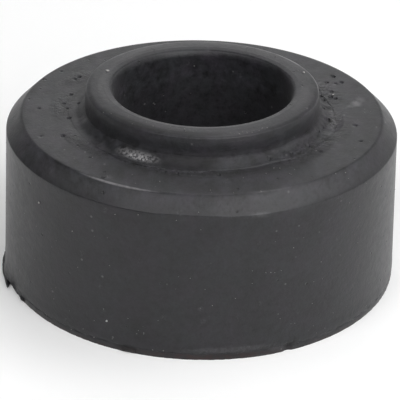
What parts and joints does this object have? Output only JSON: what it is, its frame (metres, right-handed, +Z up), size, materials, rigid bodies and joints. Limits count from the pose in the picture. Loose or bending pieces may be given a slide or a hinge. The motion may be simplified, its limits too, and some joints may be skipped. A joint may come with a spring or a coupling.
{
  "type": "stabilizer bar bushing",
  "caption": "Moulded rubber bushing: a drum with a chamfered shoulder, a low spigot on a flared root, and a through bore for a spacer sleeve.",
  "frame": {"origin": "where the bore's axis meets the base face, on the surface that the bushing stands on", "axes": "+Z up along the bore's axis, from the base to the spigot; the mould's longest flash remnant is on the -X side"},
  "size_m": [0.0363, 0.036, 0.0175],
  "materials": {
    "black_rubber": "moulded, satin, with fine pits and a little dust"
  },
  "bodies": {
    "root": {"rubber_bushing": "black_rubber"}
  },
  "joints": []
}
